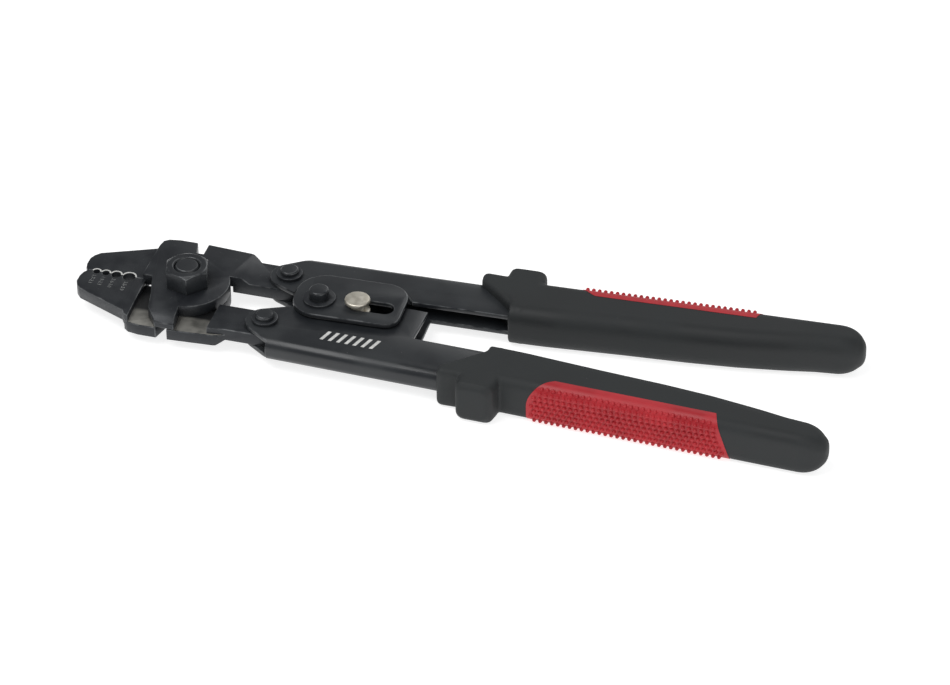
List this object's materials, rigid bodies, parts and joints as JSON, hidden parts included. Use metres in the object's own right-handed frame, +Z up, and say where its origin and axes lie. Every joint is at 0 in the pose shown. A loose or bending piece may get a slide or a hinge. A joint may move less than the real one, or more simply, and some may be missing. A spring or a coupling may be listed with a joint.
{
  "type": "crimping pliers",
  "caption": "Compound-lever hand crimper with round dies in its nose, a wire cutting notch, a slide lock and soft grips with studded inserts, lying closed.",
  "frame": {"origin": "middle of the footprint of the tool lying flat with its jaws closed, on the surface it lies on", "axes": "+X runs from the jaws to the handle ends along the centre line, +Y is the upper handle's side, +Z is up, along the pivot bolt's axis"},
  "size_m": [0.2478, 0.0652, 0.0177],
  "materials": {
    "black_oxide": "black oxide on forged steel, semi-gloss, bare on the ground dies",
    "black_steel": "black finish on pressed sheet steel and fasteners, semi-gloss",
    "black_rubber": "matt moulded elastomer, fine grain",
    "red_rubber": "soft studded elastomer, satin",
    "bright_steel": "plain turned steel"
  },
  "bodies": {
    "lower_arm": {"lower_handle": "black_steel", "lower_grip": "black_rubber", "lower_grip_insert": "red_rubber", "lower_link_rivet": "black_steel", "lower_link_washers": "black_oxide", "centre_rivet": "black_steel", "centre_washer": "black_oxide", "centre_spacer": "black_oxide", "centre_shims": "bright_steel"},
    "upper_arm": {"upper_handle": "black_steel", "upper_grip": "black_rubber", "upper_grip_insert": "red_rubber", "upper_link_rivet": "black_steel", "upper_link_washers": "black_oxide"},
    "lower_jaw": {"lower_jaw": "black_oxide", "pivot_bolt": "black_steel", "pivot_nut": "black_steel"},
    "upper_jaw": {"upper_jaw": "black_oxide"},
    "lock": {"lock_stud": "bright_steel", "lock_washer": "bright_steel"}
  },
  "joints": [
    {"name": "handles_open", "type": "hinge", "parent": "lower_arm", "child": "upper_arm", "pos_m": [-0.04521, 0, 0.0072], "axis": [0, 0, 1], "range_deg": [0, 38]},
    {"name": "lower_jaw_pivot", "type": "hinge", "parent": "lower_arm", "child": "lower_jaw", "pos_m": [-0.05911, -0.0124, 0.0072], "axis": [0, 0, 1], "range_deg": [0, 29]},
    {"name": "jaw_pivot", "type": "hinge", "parent": "lower_jaw", "child": "upper_jaw", "pos_m": [-0.08881, 0, 0.0072], "axis": [0, 0, 1], "range_deg": [-19.5, 0]},
    {"name": "lock_slide", "type": "slide", "parent": "upper_arm", "child": "lock", "axis": [0.9995, 0.0323, 0], "range_m": [0, 0.0088]}
  ],
  "couplings": [
    {"joint": "lower_jaw_pivot", "follows": "handles_open", "ratio": 0.7535},
    {"joint": "jaw_pivot", "follows": "handles_open", "ratio": -0.507}
  ]
}
